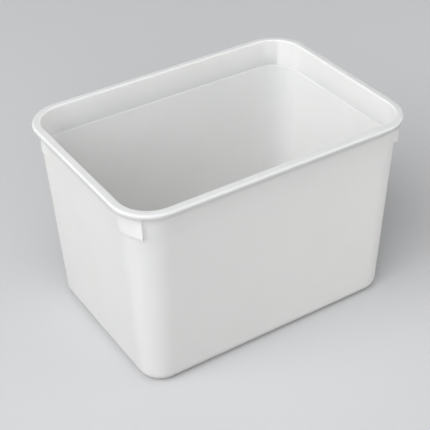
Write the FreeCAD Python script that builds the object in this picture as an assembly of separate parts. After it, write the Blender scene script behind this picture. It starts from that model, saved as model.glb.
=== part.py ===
import FreeCAD, Part
import math
import os
from FreeCAD import Placement, Rotation, Vector

# A rectangular four-litre ice cream tub, injection moulded in white polypropylene as one piece.
#
# The origin is the centre of the base, on the plane that the tub stands on. X runs along the
# long sides, Y across them and Z up. All sizes are in millimetres and degrees.
#
# Seen from above, every horizontal outline of the tub is a rounded rectangle, and all of them
# share the four corner axes of the rim. A point of the wall is therefore given by two numbers:
# its inset, which is how far it lies inside the rim's outer line, and its height z.

# Overall size
LENGTH = 230.0
WIDTH = 165.0
HEIGHT = 152.0
CORNER_RADIUS = 29.0

# Tapered wall and floor
WALL = 1.2
FLOOR = 1.4
DRAFT = 2.85
BASE_ROUNDING = 7.8

# Upright band round the inside of the mouth, which ends below in a narrow ledge
BAND_HEIGHT = 21.7
LEDGE_WIDTH = 0.45
LEDGE_RISE = 1.0
LEDGE_ROUNDING = 0.4

# Rim, rolled over into a skirt that is open below and that the lid snaps over
RIM_WIDTH = 6.1
RIM_OVERHANG = 4.2
RIM_HEIGHT = 4.4
RIM_WALL = 1.1
RIM_OUTER_ROUNDING = 1.5
RIM_INNER_ROUNDING = 0.6
SKIRT_LEAN = 0.45
SKIRT_EDGE_ROUNDING = 0.3

# Lug under the rim at each corner, whose square foot keeps nested tubs from jamming. Seen from
# above it leaves the short wall in a slow run-out, goes round the corner upright while the wall
# tapers away behind it, and then goes straight on to an edge that faces the long wall. The pad and
# the edge stand out from the wall by their two depths, measured at the foot
LUG_ANGLE = 48.0
LUG_EDGE_DEPTH = 2.9255
LUG_PAD_DEPTH = 0.8255
LUG_RUN_OUT = 8.0
LUG_EDGE_ROUNDING = 0.3

# Raised centre of the floor, which leaves a foot ring all round, and the mark of the mould's gate
FOOT_WIDTH = 4.0
PANEL_RISE = 1.2
PANEL_CORNER_RADIUS = 12.0
GATE_DISH_RADIUS = 5.0
GATE_DISH_DEPTH = 0.4
GATE_NUB_RADIUS = 0.9
GATE_NUB_HEIGHT = 0.3

UP = Vector(0, 0, 1)

# Heights that follow from the sizes above
UNDER_RIM_Z = HEIGHT - RIM_WALL
BAND_FOOT_Z = HEIGHT - BAND_HEIGHT
LEDGE_Z = BAND_FOOT_Z - LEDGE_RISE


def outward_shift(angle, rise):
    """How far a face that leans by an angle moves outward over a rise."""
    return rise * math.tan(math.radians(angle))


def wall_inset(z):
    """Inset of the tapered wall's outer face at a height."""
    return RIM_OVERHANG + outward_shift(DRAFT, UNDER_RIM_Z - z)


# Insets that follow from the sizes above
WALL_ACROSS = WALL / math.cos(math.radians(DRAFT))
LEDGE_INSET = wall_inset(LEDGE_Z) + WALL_ACROSS
BASE_INSET = wall_inset(0)
LUG_EDGE_INSET = wall_inset(BAND_FOOT_Z) - LUG_EDGE_DEPTH
LUG_PAD_INSET = wall_inset(BAND_FOOT_Z) - LUG_PAD_DEPTH
FOOT_INSET = BASE_INSET + BASE_ROUNDING * math.tan(math.radians((90.0 - DRAFT) / 2))
FLOOR_INSET = FOOT_INSET + FOOT_WIDTH / 4


def arc_between(before, corner, after, radius):
    """Round one corner of an outline: the arc's start, middle and end."""
    back = (before - corner).normalize()
    forward = (after - corner).normalize()
    half_angle = back.getAngle(forward) / 2
    reach = radius / math.tan(half_angle)
    bisector = (back + forward).normalize()
    middle = corner + bisector * (radius / math.sin(half_angle) - radius)
    return corner + back * reach, middle, corner + forward * reach


def section_face(corners):
    """Face in the XZ plane through (inset, z, rounding) corners, as it stands at a corner axis."""
    points = [Vector(CORNER_RADIUS - inset, 0, z) for inset, z, rounding in corners]
    edges = []
    first = last = None
    for index, (inset, z, rounding) in enumerate(corners):
        corner = points[index]
        if rounding:
            after = points[(index + 1) % len(points)]
            start, middle, end = arc_between(points[index - 1], corner, after, rounding)
            edges.append(Part.Arc(start, middle, end).toShape())
        else:
            start = end = corner
        if last is None:
            first = start
        else:
            edges.append(Part.LineSegment(last, start).toShape())
        last = end
    edges.append(Part.LineSegment(last, first).toShape())
    return Part.Face(Part.Wire(Part.__sortEdges__(edges)))


def corner_axes():
    """The centres of the four rounded corners, in turn from +X +Y."""
    x = LENGTH / 2 - CORNER_RADIUS
    y = WIDTH / 2 - CORNER_RADIUS
    return [Vector(x, y, 0), Vector(-x, y, 0), Vector(-x, -y, 0), Vector(x, -y, 0)]


def carry_round(section):
    """Carry a section round the tub: a quarter turn at each corner, then along the next side."""
    axes = corner_axes()
    solids = []
    for quarter, axis in enumerate(axes):
        side_end = axes[(quarter + 1) % 4]
        at_corner = section.copy()
        at_corner.Placement = Placement(axis, Rotation(UP, 90.0 * quarter))
        solids.append(at_corner.revolve(axis, UP, 90))
        at_side = section.copy()
        at_side.Placement = Placement(axis, Rotation(UP, 90.0 * (quarter + 1)))
        solids.append(at_side.extrude(side_end - axis))
    return solids


def rounded_outline(inset, z, radius):
    """Rounded rectangle at a height, lying an inset inside the rim's outer line."""
    x = LENGTH / 2 - inset - radius
    y = WIDTH / 2 - inset - radius
    centres = [Vector(x, y, z), Vector(-x, y, z), Vector(-x, -y, z), Vector(x, -y, z)]
    edges = []
    for quarter, centre in enumerate(centres):
        turn = Rotation(UP, 90.0 * quarter)
        start = centre + turn.multVec(Vector(radius, 0, 0))
        middle = centre + turn.multVec(Vector(radius, radius, 0).normalize() * radius)
        end = centre + turn.multVec(Vector(0, radius, 0))
        next_start = centres[(quarter + 1) % 4] + turn.multVec(Vector(0, radius, 0))
        edges.append(Part.Arc(start, middle, end).toShape())
        edges.append(Part.LineSegment(end, next_start).toShape())
    return Part.Wire(edges)


def wall_section():
    """Section of the whole wall: rounded base edge, tapered wall, rolled rim, band and ledge."""
    inner_wall_shift = outward_shift(DRAFT, FLOOR)
    skirt_foot_z = HEIGHT - RIM_HEIGHT
    skirt_land_z = HEIGHT - RIM_OUTER_ROUNDING - SKIRT_EDGE_ROUNDING
    outer_face = [
        (FLOOR_INSET, 0, 0),
        (BASE_INSET, 0, BASE_ROUNDING),
        (RIM_OVERHANG, UNDER_RIM_Z, 0),
    ]
    rim = [
        (RIM_WALL, UNDER_RIM_Z, 0),
        (SKIRT_LEAN + RIM_WALL, skirt_foot_z, 0),
        (SKIRT_LEAN, skirt_foot_z, SKIRT_EDGE_ROUNDING),
        (0, skirt_land_z, 0),
        (0, HEIGHT, RIM_OUTER_ROUNDING),
    ]
    inner_face = [
        (RIM_WIDTH, HEIGHT, RIM_INNER_ROUNDING),
        (LEDGE_INSET - LEDGE_WIDTH, BAND_FOOT_Z, LEDGE_ROUNDING),
        (LEDGE_INSET, LEDGE_Z, LEDGE_ROUNDING),
        (BASE_INSET + WALL_ACROSS - inner_wall_shift, FLOOR, BASE_ROUNDING - WALL),
        (FLOOR_INSET, FLOOR, 0),
    ]
    return section_face(outer_face + rim + inner_face)


def floor_plate():
    """Flat floor inside the rounded base edge."""
    outline = rounded_outline(FLOOR_INSET, 0, CORNER_RADIUS - FLOOR_INSET)
    return Part.Face(outline).extrude(UP * FLOOR)


def panel_block(z, widening):
    """The floor panel's tapered shape, with its foot at a height."""
    inset = FOOT_INSET + FOOT_WIDTH - widening
    foot = rounded_outline(inset, z, PANEL_CORNER_RADIUS)
    top = rounded_outline(inset + PANEL_RISE, z + PANEL_RISE, PANEL_CORNER_RADIUS - PANEL_RISE)
    return Part.makeLoft([foot, top], True, True)


def at_angle(radius, angle, z):
    """Point at a radius and an angle, seen from a corner axis, at a height."""
    return Vector(radius * math.cos(math.radians(angle)), radius * math.sin(math.radians(angle)), z)


def lug_outline(z):
    """Outline of a lug about its corner axis, with its back buried in the thin part of the wall."""
    pad_radius = CORNER_RADIUS - LUG_PAD_INSET
    edge_radius = CORNER_RADIUS - LUG_EDGE_INSET
    back_radius = CORNER_RADIUS - (wall_inset(BAND_FOOT_Z) + LEDGE_INSET - LEDGE_WIDTH) / 2
    straight_from = LUG_ANGLE - math.degrees(math.acos(pad_radius / edge_radius))
    run_out = Vector(back_radius, -LUG_RUN_OUT, z)
    pad = [at_angle(pad_radius, share * straight_from, z) for share in (0, 0.5, 1)]
    edge = at_angle(edge_radius, LUG_ANGLE, z)
    back = [at_angle(back_radius, share * LUG_ANGLE, z) for share in (1, 0.5, 0)]
    return Part.Wire([
        Part.LineSegment(run_out, pad[0]).toShape(),
        Part.Arc(*pad).toShape(),
        Part.LineSegment(pad[-1], edge).toShape(),
        Part.LineSegment(edge, back[0]).toShape(),
        Part.Arc(*back).toShape(),
        Part.LineSegment(back[-1], run_out).toShape(),
    ])


def mouth_space():
    """The space inside the band, from its foot to the top of the rim."""
    foot_inset = LEDGE_INSET - LEDGE_WIDTH
    foot = rounded_outline(foot_inset, BAND_FOOT_Z, CORNER_RADIUS - foot_inset)
    top = rounded_outline(RIM_WIDTH, HEIGHT, CORNER_RADIUS - RIM_WIDTH)
    return Part.makeLoft([foot, top], True, True)


def corner_lug():
    """Lug at the corner axis towards +X +Y, its standing edge and its foot rounded."""
    height = HEIGHT - RIM_WALL / 2 - BAND_FOOT_Z
    lug = Part.Face(lug_outline(BAND_FOOT_Z)).extrude(UP * height)
    reach = CORNER_RADIUS - LUG_PAD_INSET - LUG_EDGE_ROUNDING
    rounded = []
    for edge in lug.Edges:
        middle = edge.valueAt((edge.FirstParameter + edge.LastParameter) / 2)
        on_foot = edge.BoundBox.ZMax < BAND_FOOT_Z + LUG_EDGE_ROUNDING
        standing = edge.BoundBox.ZLength > height / 2
        far_out = math.hypot(middle.x, middle.y) > reach
        at_edge = math.hypot(middle.x, middle.y) > CORNER_RADIUS - LUG_EDGE_INSET - LUG_EDGE_ROUNDING
        if (on_foot and far_out) or (standing and at_edge):
            rounded.append(edge)
    lug = lug.makeFillet(LUG_EDGE_ROUNDING, rounded)
    lug.translate(corner_axes()[0])
    return lug.cut(mouth_space())


def corner_lugs():
    """The four lugs, mirrored across the tub's two upright middle planes."""
    lug = corner_lug()
    pair = [lug, lug.mirror(Vector(0, 0, 0), Vector(1, 0, 0))]
    return pair + [one.mirror(Vector(0, 0, 0), Vector(0, 1, 0)) for one in pair]


def gate_dish():
    """Shallow round dish in the middle of the underside."""
    return Part.makeCylinder(GATE_DISH_RADIUS, GATE_DISH_DEPTH, Vector(0, 0, PANEL_RISE), UP)


def gate_nub():
    """Trimmed stub of the mould's gate, standing down in its dish."""
    top = PANEL_RISE + GATE_DISH_DEPTH
    return Part.makeCylinder(GATE_NUB_RADIUS, GATE_NUB_HEIGHT, Vector(0, 0, top - GATE_NUB_HEIGHT), UP)


def tub():
    """The whole tub, one solid."""
    wall = carry_round(wall_section())
    inner_widening = FLOOR * math.tan(math.radians(22.5))
    additions = wall[1:] + [floor_plate(), panel_block(FLOOR, inner_widening)]
    additions += corner_lugs()
    body = wall[0].multiFuse(additions)
    body = body.cut(panel_block(0, 0))
    body = body.cut(gate_dish())
    body = body.fuse(gate_nub())
    return body.removeSplitter()


os.makedirs("parts", exist_ok=True)
shape = tub()
solid = shape.Solids[0]
solid.exportStep("parts/tub.step")
print("solids", len(shape.Solids), "valid", solid.isValid(), "faces", len(solid.Faces))
print("volume cm3", round(solid.Volume / 1000, 2), "box", solid.BoundBox)
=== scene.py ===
import math
import bpy
import bmesh
from mathutils import Matrix, Vector


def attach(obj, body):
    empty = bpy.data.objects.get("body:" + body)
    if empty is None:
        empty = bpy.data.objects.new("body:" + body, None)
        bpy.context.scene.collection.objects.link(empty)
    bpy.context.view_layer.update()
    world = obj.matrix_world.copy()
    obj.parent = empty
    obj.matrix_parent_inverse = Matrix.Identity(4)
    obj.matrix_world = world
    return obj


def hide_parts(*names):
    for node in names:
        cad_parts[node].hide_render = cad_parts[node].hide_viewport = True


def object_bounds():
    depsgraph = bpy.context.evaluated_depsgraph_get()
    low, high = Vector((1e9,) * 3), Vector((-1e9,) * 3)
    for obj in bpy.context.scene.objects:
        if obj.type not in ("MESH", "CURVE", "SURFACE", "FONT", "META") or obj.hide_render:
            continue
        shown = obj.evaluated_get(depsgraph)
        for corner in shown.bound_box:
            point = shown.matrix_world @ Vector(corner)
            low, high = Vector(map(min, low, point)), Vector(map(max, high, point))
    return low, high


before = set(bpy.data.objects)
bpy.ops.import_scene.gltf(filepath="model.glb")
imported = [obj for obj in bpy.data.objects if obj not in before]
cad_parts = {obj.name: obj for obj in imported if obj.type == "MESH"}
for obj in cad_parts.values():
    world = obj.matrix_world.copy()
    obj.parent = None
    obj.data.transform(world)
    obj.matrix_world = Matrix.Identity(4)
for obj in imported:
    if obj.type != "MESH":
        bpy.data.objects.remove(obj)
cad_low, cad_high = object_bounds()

# A white polypropylene ice cream tub, empty and open, on a pale studio floor.
# Lengths are in metres and angles in degrees. The tub's own sizes are those of its CAD solid:
# the overall ones are read from the frame, and the wall's are named here.

MM = 0.001
LENGTH = cad_high.x - cad_low.x
WIDTH = cad_high.y - cad_low.y
HEIGHT = cad_high.z - cad_low.z
CORNER_RADIUS = 29.0 * MM

WALL = 1.2 * MM
FLOOR = 1.4 * MM
DRAFT = 2.85
BASE_ROUNDING = 7.8 * MM

BAND_HEIGHT = 21.7 * MM
LEDGE_WIDTH = 0.45 * MM
LEDGE_RISE = 1.0 * MM
LEDGE_ROUNDING = 0.4 * MM

RIM_WIDTH = 6.1 * MM
RIM_OVERHANG = 4.2 * MM
RIM_HEIGHT = 4.4 * MM
RIM_WALL = 1.1 * MM
RIM_OUTER_ROUNDING = 1.5 * MM
RIM_INNER_ROUNDING = 0.6 * MM
SKIRT_LEAN = 0.45 * MM
SKIRT_EDGE_ROUNDING = 0.3 * MM
GROOVE_ROUNDING = 0.3 * MM

LUG_ANGLE = 48.0
LUG_INSET = 2.3 * MM
LUG_PAD_INSET = 4.4 * MM
LUG_RUN_OUT = 8.0 * MM
LUG_EDGE_ROUNDING = 0.3 * MM
LUG_ROOT_ROUNDING = 0.5 * MM
LUG_BLEND = 0.3 * MM
LUG_SINK = 0.07 * MM
LUG_SINK_ANGLE = 2.5

FOOT_WIDTH = 4.0 * MM
PANEL_RISE = 1.2 * MM
PANEL_CORNER_RADIUS = 12.0 * MM
GATE_DISH_RADIUS = 5.0 * MM
GATE_DISH_DEPTH = 0.4 * MM
GATE_NUB_RADIUS = 0.9 * MM
GATE_NUB_HEIGHT = 0.3 * MM
GATE_EDGE = 0.15 * MM
VALVE_RING_RADIUS = 16.0 * MM
VALVE_RING_GROOVE = 0.12 * MM

# How finely the mesh is divided
CORNER_STEPS = 12
SIDE_STEPS = 6
RUN_OUT_STEPS = 8
PAD_STEPS = 6
FACE_STEPS = 7
EDGE_STEPS = 6
EDGE_SPACE_ANGLE = 1.0
ROOT_STEPS = 3
LUG_ROWS = 8
SMALL_ARC_STEPS = 3
LEDGE_ARC_STEPS = 4
ARC_STEPS = 6
BASE_ARC_STEPS = 14
MERGE_DISTANCE = 0.002 * MM
SHARP_ANGLE = 40.0

# The corners of a rectangle in turn from +X +Y, as the signs of x and y
CORNER_SIGNS = [(1, 1), (-1, 1), (-1, -1), (1, -1)]


def tan(angle):
    return math.tan(math.radians(angle))


UNDER_RIM_Z = HEIGHT - RIM_WALL
BAND_FOOT_Z = HEIGHT - BAND_HEIGHT
LEDGE_Z = BAND_FOOT_Z - LEDGE_RISE


def wall_inset(z):
    """Inset of the tapered wall's outer face at a height."""
    return RIM_OVERHANG + tan(DRAFT) * (UNDER_RIM_Z - z)


WALL_ACROSS = WALL / math.cos(math.radians(DRAFT))
LEDGE_INSET = wall_inset(LEDGE_Z) + WALL_ACROSS
FOOT_INSET = wall_inset(0) + BASE_ROUNDING * tan((90.0 - DRAFT) / 2)
PANEL_INSET = FOOT_INSET + FOOT_WIDTH


# ---------------------------------------------------------------- the wall's section

def rounded_line(corners):
    """Points of an open line through (inset, z, rounding, steps) corners, its corners rounded."""
    points = []
    for index, (inset, z, rounding, steps) in enumerate(corners):
        corner = Vector((inset, z))
        if not rounding:
            points.append(corner)
            continue
        back = (Vector(corners[index - 1][:2]) - corner).normalized()
        forward = (Vector(corners[index + 1][:2]) - corner).normalized()
        half = back.angle(forward) / 2
        bisector = (back + forward).normalized()
        centre = corner + bisector * (rounding / math.sin(half))
        start = corner + back * (rounding / math.tan(half)) - centre
        turn = math.pi - 2 * half
        if back.x * forward.y - back.y * forward.x > 0:
            turn = -turn
        for step in range(steps + 1):
            points.append(centre + Matrix.Rotation(turn * step / steps, 2) @ start)
    return points


def base_line():
    """Outside of the rounded base edge, from the foot ring up to the tapered wall."""
    return rounded_line([
        (FOOT_INSET + FOOT_WIDTH / 4, 0, 0, 0),
        (wall_inset(0), 0, BASE_ROUNDING, BASE_ARC_STEPS),
        (RIM_OVERHANG, UNDER_RIM_Z, 0, 0),
    ])[:-1]


def rim_line():
    """Rim, from its underside round the skirt and over the top to the inner edge."""
    skirt_foot_z = HEIGHT - RIM_HEIGHT
    skirt_land_z = HEIGHT - RIM_OUTER_ROUNDING - SKIRT_EDGE_ROUNDING
    return rounded_line([
        (RIM_OVERHANG, UNDER_RIM_Z, 0, 0),
        (RIM_WALL, UNDER_RIM_Z, GROOVE_ROUNDING, SMALL_ARC_STEPS),
        (SKIRT_LEAN + RIM_WALL, skirt_foot_z, SKIRT_EDGE_ROUNDING, SMALL_ARC_STEPS),
        (SKIRT_LEAN, skirt_foot_z, SKIRT_EDGE_ROUNDING, SMALL_ARC_STEPS),
        (0, skirt_land_z, 0, 0),
        (0, HEIGHT, RIM_OUTER_ROUNDING, ARC_STEPS),
        (RIM_WIDTH, HEIGHT, RIM_INNER_ROUNDING, ARC_STEPS),
        (LEDGE_INSET - LEDGE_WIDTH, BAND_FOOT_Z, 0, 0),
    ])[1:-1]


def inner_line():
    """Inside of the wall, from the band down over the ledge to the floor."""
    return rounded_line([
        (RIM_WIDTH, HEIGHT - 2 * RIM_INNER_ROUNDING, 0, 0),
        (LEDGE_INSET - LEDGE_WIDTH, BAND_FOOT_Z, LEDGE_ROUNDING, LEDGE_ARC_STEPS),
        (LEDGE_INSET, LEDGE_Z, LEDGE_ROUNDING, LEDGE_ARC_STEPS),
        (wall_inset(0) + WALL_ACROSS - tan(DRAFT) * FLOOR, FLOOR, BASE_ROUNDING - WALL, BASE_ARC_STEPS),
        (FOOT_INSET + FOOT_WIDTH / 4, FLOOR, 0, 0),
    ])


def lug_rows():
    """Rows (z, most, drop) up the lugs: the most that a lug stands out there, and its set-back."""
    rows = []
    root = LUG_ROOT_ROUNDING
    edge = LUG_EDGE_ROUNDING
    turns = [math.radians(90.0 * step / ROOT_STEPS) for step in range(ROOT_STEPS + 1)]
    for turn in turns:
        rows.append((BAND_FOOT_Z - root + root * math.sin(turn), root * (1 - math.cos(turn)), 0.0))
    for turn in turns:
        rows.append((BAND_FOOT_Z + edge * (1 - math.cos(turn)), HEIGHT, edge * (1 - math.sin(turn))))
    start = rows[-1][0]
    for step in range(1, LUG_ROWS + 1):
        rows.append((start + (UNDER_RIM_Z - start) * step / LUG_ROWS, HEIGHT, 0.0))
    return rows


# ---------------------------------------------------------------- the columns round the tub

class Column:
    """One upright line of the mesh: where it stands round the tub, and the lug that it crosses."""

    def __init__(self, quarter, angle, along=0.0, lug_inset=HEIGHT, lug_most=HEIGHT, sink=0.0):
        self.quarter = quarter
        self.outward = Vector((math.cos(math.radians(angle)), math.sin(math.radians(angle))))
        self.along = along
        self.lug_inset = lug_inset
        self.lug_most = lug_most
        self.sink = sink

    def place(self, inset, radius, z):
        """Point on the rounded rectangle of an inset and corner radius, at a height."""
        x = LENGTH / 2 - inset - radius
        y = WIDTH / 2 - inset - radius
        here_x, here_y = CORNER_SIGNS[self.quarter]
        there_x, there_y = CORNER_SIGNS[(self.quarter + 1) % 4]
        here = Vector((here_x * x, here_y * y))
        there = Vector((there_x * x, there_y * y))
        flat = here.lerp(there, self.along) + self.outward * radius
        return Vector((flat.x, flat.y, z))

    def on_wall(self, inset, z):
        """Point at an inset and a height, on an outline about the rim's own corner axes."""
        return self.place(inset, CORNER_RADIUS - inset, z)

    def on_lug(self, z, most, drop):
        """Point of the outside in a lug's row, blended softly into the wall where the lug runs out."""
        wall = wall_inset(z)
        near = max(LUG_BLEND - abs(wall - self.lug_inset), 0.0) / LUG_BLEND
        lug = min(wall, self.lug_inset) - near * near * LUG_BLEND / 4
        out = max(0.0, min(wall - lug - drop, most, self.lug_most))
        return self.on_wall(wall - out, z)


def lug_crossing():
    """A lug as (angle, inset, most) in turn from the short wall's side, about its corner axis.

    The most is how far it may stand out, which only its root fillet limits.
    """
    pad_radius = CORNER_RADIUS - LUG_PAD_INSET
    edge_radius = CORNER_RADIUS - LUG_INSET
    straight_from = LUG_ANGLE - math.degrees(math.acos(pad_radius / edge_radius))
    crossing = [(straight_from * step / PAD_STEPS, LUG_PAD_INSET, HEIGHT) for step in range(PAD_STEPS)]
    rounding = LUG_EDGE_ROUNDING
    slant = math.radians(LUG_ANGLE - straight_from)
    inward = (pad_radius - rounding - rounding * math.sin(slant)) / math.cos(slant)
    centre = Matrix.Rotation(math.radians(LUG_ANGLE), 2) @ Vector((inward, -rounding))
    straight_to = math.degrees(math.atan2(centre.y, centre.x)) - EDGE_SPACE_ANGLE
    for step in range(FACE_STEPS + 1):
        angle = straight_from + (straight_to - straight_from) * step / FACE_STEPS
        radius = pad_radius / math.cos(math.radians(angle - straight_from))
        crossing.append((angle, CORNER_RADIUS - radius, HEIGHT))
    facing = LUG_ANGLE + 90.0
    for step in range(EDGE_STEPS + 1):
        normal = math.radians(straight_from + (facing - straight_from) * step / EDGE_STEPS)
        point = centre + Vector((math.cos(normal), math.sin(normal))) * rounding
        angle = math.degrees(math.atan2(point.y, point.x))
        crossing.append((angle, CORNER_RADIUS - point.length, HEIGHT))
    root_radius = CORNER_RADIUS - wall_inset(BAND_FOOT_Z)
    for step in range(ROOT_STEPS + 1):
        turn = math.radians(90.0 - 90.0 * step / ROOT_STEPS)
        aside = math.degrees(LUG_ROOT_ROUNDING * (1 - math.sin(turn)) / root_radius)
        most = LUG_ROOT_ROUNDING * (1 - math.cos(turn))
        crossing.append((LUG_ANGLE + aside, LUG_INSET, most))
    return crossing


def sink_at(angle):
    """Depth of the sink mark that a lug's thick edge leaves inside the band."""
    away = (angle - LUG_ANGLE) / LUG_SINK_ANGLE
    return LUG_SINK * math.exp(-away * away)


def all_columns():
    """Every column, in turn round the tub from +X towards +Y."""
    crossing = lug_crossing()
    last = crossing[-1][0]
    for step in range(1, CORNER_STEPS + 1):
        crossing.append((last + (90.0 - last) * step / CORNER_STEPS, HEIGHT, HEIGHT))
    short_side = WIDTH - 2 * CORNER_RADIUS
    columns = []
    for quarter in range(4):
        start = 90.0 * quarter
        lug_first = quarter % 2 == 0
        for angle, inset, most in crossing if lug_first else crossing[::-1]:
            turned = start + (angle if lug_first else 90.0 - angle)
            columns.append(Column(quarter, turned, 0.0, inset, most, sink_at(angle)))
        shares = [step / SIDE_STEPS for step in range(1, SIDE_STEPS)]
        if not lug_first:
            run_out_share = LUG_RUN_OUT / short_side
            run_out = [run_out_share * step / RUN_OUT_STEPS for step in range(1, RUN_OUT_STEPS + 1)]
            shares = run_out + shares[1:-1] + [1.0 - share for share in run_out[::-1]]
        for share in shares:
            away = min(share, 1.0 - share) * short_side
            inset = run_out_inset(away) if not lug_first else HEIGHT
            columns.append(Column(quarter, start + 90.0, share, inset))
    return columns


def run_out_inset(away):
    """Inset of a lug's run-out along the short wall, at a distance from the corner."""
    back_inset = (wall_inset(BAND_FOOT_Z) + LEDGE_INSET - LEDGE_WIDTH) / 2
    return LUG_PAD_INSET + (back_inset - LUG_PAD_INSET) * min(away / LUG_RUN_OUT, 1.0)


# ---------------------------------------------------------------- the mesh

def round_loop(columns, radius, z):
    """Loop of points on a circle about the middle, one for each column."""
    loop = []
    for column in columns:
        point = column.place(PANEL_INSET, PANEL_CORNER_RADIUS, z)
        spoke = Vector((point.x, point.y)).normalized() * radius
        loop.append(Vector((spoke.x, spoke.y, z)))
    return loop


def panel_loop(columns, widening, rise, z):
    """Loop on the floor panel's tapered edge."""
    inset = PANEL_INSET - widening + rise
    return [column.place(inset, PANEL_CORNER_RADIUS - rise, z) for column in columns]


def underside_loops(columns):
    """From the gate's nub out to the foot ring."""
    dish_z = PANEL_RISE + GATE_DISH_DEPTH
    nub_z = dish_z - GATE_NUB_HEIGHT
    return [
        round_loop(columns, GATE_NUB_RADIUS - GATE_EDGE, nub_z),
        round_loop(columns, GATE_NUB_RADIUS, nub_z + GATE_EDGE),
        round_loop(columns, GATE_NUB_RADIUS, dish_z),
        round_loop(columns, GATE_DISH_RADIUS - GATE_EDGE, dish_z),
        round_loop(columns, GATE_DISH_RADIUS, dish_z - GATE_EDGE),
        round_loop(columns, GATE_DISH_RADIUS, PANEL_RISE + GATE_EDGE),
        round_loop(columns, GATE_DISH_RADIUS + GATE_EDGE, PANEL_RISE),
        panel_loop(columns, 0, PANEL_RISE, PANEL_RISE),
        panel_loop(columns, 0, 0, 0),
    ]


def floor_loops(columns):
    """From the inner foot of the wall in over the raised panel to the air valve's ring."""
    widening = FLOOR * tan(22.5)
    top = FLOOR + PANEL_RISE
    groove = VALVE_RING_GROOVE
    return [
        panel_loop(columns, widening, 0, FLOOR),
        panel_loop(columns, widening, PANEL_RISE, top),
        round_loop(columns, VALVE_RING_RADIUS + 2 * groove, top),
        round_loop(columns, VALVE_RING_RADIUS, top - groove),
        round_loop(columns, VALVE_RING_RADIUS - 2 * groove, top),
        round_loop(columns, VALVE_RING_RADIUS / 4, top),
    ]


def tub_loops(columns):
    """Every loop of the mesh, from the middle of the underside to the middle of the floor."""
    loops = underside_loops(columns)
    for point in base_line():
        loops.append([column.on_wall(point.x, point.y) for column in columns])
    for z, most, drop in lug_rows():
        loops.append([column.on_lug(z, most, drop) for column in columns])
    for point in rim_line():
        loops.append([column.on_wall(point.x, point.y) for column in columns])
    for point in inner_line():
        in_band = BAND_FOOT_Z < point.y
        loops.append([
            column.on_wall(point.x - (column.sink if in_band else 0.0), point.y)
            for column in columns
        ])
    return loops + floor_loops(columns)


def skin(name, loops):
    """Closed mesh object over a stack of loops, capped at both ends."""
    shape = bmesh.new()
    rings = [[shape.verts.new(point) for point in loop] for loop in loops]
    for ring, following in zip(rings, rings[1:]):
        for index in range(len(ring)):
            after = (index + 1) % len(ring)
            shape.faces.new((ring[index], ring[after], following[after], following[index]))
    shape.faces.new(rings[0][::-1])
    shape.faces.new(rings[-1])
    bmesh.ops.remove_doubles(shape, verts=shape.verts, dist=MERGE_DISTANCE)
    bmesh.ops.dissolve_degenerate(shape, edges=shape.edges, dist=MERGE_DISTANCE)
    bmesh.ops.recalc_face_normals(shape, faces=shape.faces)
    for face in shape.faces:
        face.smooth = True
    mesh = bpy.data.meshes.new(name)
    shape.to_mesh(mesh)
    shape.free()
    mesh.set_sharp_from_angle(angle=math.radians(SHARP_ANGLE))
    piece = bpy.data.objects.new(name, mesh)
    bpy.context.scene.collection.objects.link(piece)
    weighted = piece.modifiers.new("Even shading", "WEIGHTED_NORMAL")
    weighted.keep_sharp = True
    return piece


# ---------------------------------------------------------------- materials

def new_material(name):
    """Empty node material, with its tree and its output node."""
    material = bpy.data.materials.new(name)
    material.use_nodes = True
    tree = material.node_tree
    tree.nodes.clear()
    output = tree.nodes.new("ShaderNodeOutputMaterial")
    return material, tree, output


def add(tree, kind, inputs=None, **settings):
    """Add a node, with its settings and the values of its inputs."""
    node = tree.nodes.new(kind)
    for key, value in settings.items():
        setattr(node, key, value)
    for key, value in (inputs or {}).items():
        node.inputs[key].default_value = value
    return node


def white_plastic():
    """Satin white polypropylene: a little light passes into it, and its moulded skin is not quite even."""
    material, tree, output = new_material("white polypropylene")
    link = tree.links.new
    place = add(tree, "ShaderNodeTexCoord").outputs["Object"]

    cloud = add(tree, "ShaderNodeTexNoise", {"Scale": 22.0, "Detail": 3.0, "Roughness": 0.5})
    link(place, cloud.inputs["Vector"])
    tint = add(tree, "ShaderNodeValToRGB")
    tint.color_ramp.elements[0].position = 0.3
    tint.color_ramp.elements[0].color = (0.862, 0.856, 0.843, 1)
    tint.color_ramp.elements[1].position = 0.7
    tint.color_ramp.elements[1].color = (0.885, 0.879, 0.866, 1)
    link(cloud.outputs["Fac"], tint.inputs["Fac"])

    haze = add(tree, "ShaderNodeTexNoise", {"Scale": 90.0, "Detail": 4.0, "Roughness": 0.6})
    link(place, haze.inputs["Vector"])
    gloss = add(tree, "ShaderNodeMapRange", {"To Min": 0.50, "To Max": 0.62})
    link(haze.outputs["Fac"], gloss.inputs["Value"])

    grain = add(tree, "ShaderNodeTexNoise", {"Scale": 2600.0, "Detail": 2.0, "Roughness": 0.6})
    link(place, grain.inputs["Vector"])
    fine = add(tree, "ShaderNodeBump", {"Strength": 0.12, "Distance": 0.00004})
    link(grain.outputs["Fac"], fine.inputs["Height"])
    swell = add(tree, "ShaderNodeTexNoise", {"Scale": 30.0, "Detail": 1.0})
    link(place, swell.inputs["Vector"])
    wave = add(tree, "ShaderNodeBump", {"Strength": 0.25, "Distance": 0.0006})
    link(swell.outputs["Fac"], wave.inputs["Height"])
    link(fine.outputs["Normal"], wave.inputs["Normal"])

    plastic = add(tree, "ShaderNodeBsdfPrincipled", {
        "IOR": 1.49,
        "Specular IOR Level": 0.3,
        "Subsurface Weight": 1.0,
        "Subsurface Radius": (1.0, 0.95, 0.9),
        "Subsurface Scale": 0.005,
    })
    link(tint.outputs["Color"], plastic.inputs["Base Color"])
    link(gloss.outputs["Result"], plastic.inputs["Roughness"])
    link(wave.outputs["Normal"], plastic.inputs["Normal"])
    link(plastic.outputs["BSDF"], output.inputs["Surface"])
    return material


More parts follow.
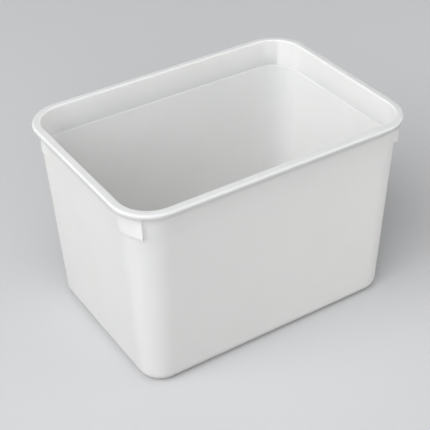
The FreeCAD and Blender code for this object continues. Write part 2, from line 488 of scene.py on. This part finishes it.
def studio_floor():
    """Pale matt floor. Only the camera sees it pale: it throws light back like a darker table."""
    material, tree, output = new_material("studio floor")
    link = tree.links.new
    path = add(tree, "ShaderNodeLightPath")
    sharp = add(tree, "ShaderNodeMath", operation="MAXIMUM")
    link(path.outputs["Is Glossy Ray"], sharp.inputs[0])
    link(path.outputs["Is Transmission Ray"], sharp.inputs[1])
    seen = add(tree, "ShaderNodeMath", operation="MAXIMUM")
    link(path.outputs["Is Camera Ray"], seen.inputs[0])
    link(sharp.outputs["Value"], seen.inputs[1])
    colour = add(tree, "ShaderNodeMix", data_type="RGBA")
    colour.inputs["A"].default_value = FLOOR_BOUNCE
    colour.inputs["B"].default_value = FLOOR_COLOUR
    link(seen.outputs["Value"], colour.inputs["Factor"])
    surface = add(tree, "ShaderNodeBsdfDiffuse", {"Roughness": 0.4})
    link(colour.outputs["Result"], surface.inputs["Color"])
    link(surface.outputs["BSDF"], output.inputs["Surface"])
    return material


# ---------------------------------------------------------------- the studio

FLOOR_COLOUR = (0.60, 0.605, 0.615, 1)
FLOOR_BOUNCE = (0.16, 0.16, 0.16, 1)
FLOOR_HALF = 6.0

# Lamps as (name, azimuth, elevation, watts), all of one size and at one distance
LAMPS = [
    ("left window", -70, 45, 36.0),
    ("left", -100, 15, 18.8),
    ("front", -20, 15, 23.5),
    ("right", 60, 15, 16.0),
    ("ceiling", 0, 88, 9.0),
]
LAMP_DISTANCE = 2.2
LAMP_SIZE = 2.0
AIR_STRENGTH = 0.16

CAMERA_AZIMUTH = -31.9
CAMERA_ELEVATION = 35.5
CAMERA_ROLL = -1.47
CAMERA_DISTANCE = 0.8327
CAMERA_AIM = Vector((0, 0, 0.0671))
CAMERA_SLIDE = (-0.00363, -0.00085)
CAMERA_LENS = 93.55


def direction(azimuth, elevation):
    """Unit vector from the tub towards a place round it, azimuth 0 being the -Y side."""
    a, e = math.radians(azimuth), math.radians(elevation)
    return Vector((math.sin(a) * math.cos(e), -math.cos(a) * math.cos(e), math.sin(e)))


def make_camera():
    data = bpy.data.cameras.new("camera")
    data.lens = CAMERA_LENS
    data.sensor_width = 36.0
    data.clip_start = 0.05
    data.clip_end = 50.0
    camera = bpy.data.objects.new("camera", data)
    back = direction(CAMERA_AZIMUTH, CAMERA_ELEVATION)
    right = Vector((0, 0, 1)).cross(back).normalized()
    up = back.cross(right)
    roll = math.radians(CAMERA_ROLL)
    side = right * math.cos(roll) + up * math.sin(roll)
    top = up * math.cos(roll) - right * math.sin(roll)
    camera.matrix_world = Matrix((side, top, back)).transposed().to_4x4()
    camera.location = CAMERA_AIM + back * CAMERA_DISTANCE + side * CAMERA_SLIDE[0] + top * CAMERA_SLIDE[1]
    bpy.context.scene.collection.objects.link(camera)
    bpy.context.scene.camera = camera


def make_floor():
    mesh = bpy.data.meshes.new("floor")
    corners = [(x * FLOOR_HALF, y * FLOOR_HALF, 0) for x, y in CORNER_SIGNS]
    mesh.from_pydata(corners, [], [(0, 1, 2, 3)])
    mesh.materials.append(studio_floor())
    floor = bpy.data.objects.new("floor", mesh)
    bpy.context.scene.collection.objects.link(floor)


def make_lamp(name, azimuth, elevation, watts):
    """Square soft lamp, turned towards the middle of the tub."""
    data = bpy.data.lights.new(name, "AREA")
    data.shape = "SQUARE"
    data.size = LAMP_SIZE
    data.energy = watts
    lamp = bpy.data.objects.new(name, data)
    back = direction(azimuth, elevation)
    lamp.location = Vector((0, 0, HEIGHT / 2)) + back * LAMP_DISTANCE
    lamp.rotation_mode = "QUATERNION"
    lamp.rotation_quaternion = back.to_track_quat("Z", "Y")
    bpy.context.scene.collection.objects.link(lamp)


def make_lights():
    """Large soft lamps, the strongest a window high on the left, on a weak even surrounding."""
    for name, azimuth, elevation, watts in LAMPS:
        make_lamp(name, azimuth, elevation, watts)
    world = bpy.data.worlds.new("studio air")
    world.use_nodes = True
    background = world.node_tree.nodes["Background"]
    background.inputs["Color"].default_value = (1.0, 1.0, 1.0, 1)
    background.inputs["Strength"].default_value = AIR_STRENGTH
    bpy.context.scene.world = world


# ---------------------------------------------------------------- putting it together

tub = skin("tub_shell", tub_loops(all_columns()))
tub.data.materials.append(white_plastic())
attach(tub, "root")
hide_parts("tub")

make_floor()
make_camera()
make_lights()
bpy.context.scene.view_settings.view_transform = "Standard"
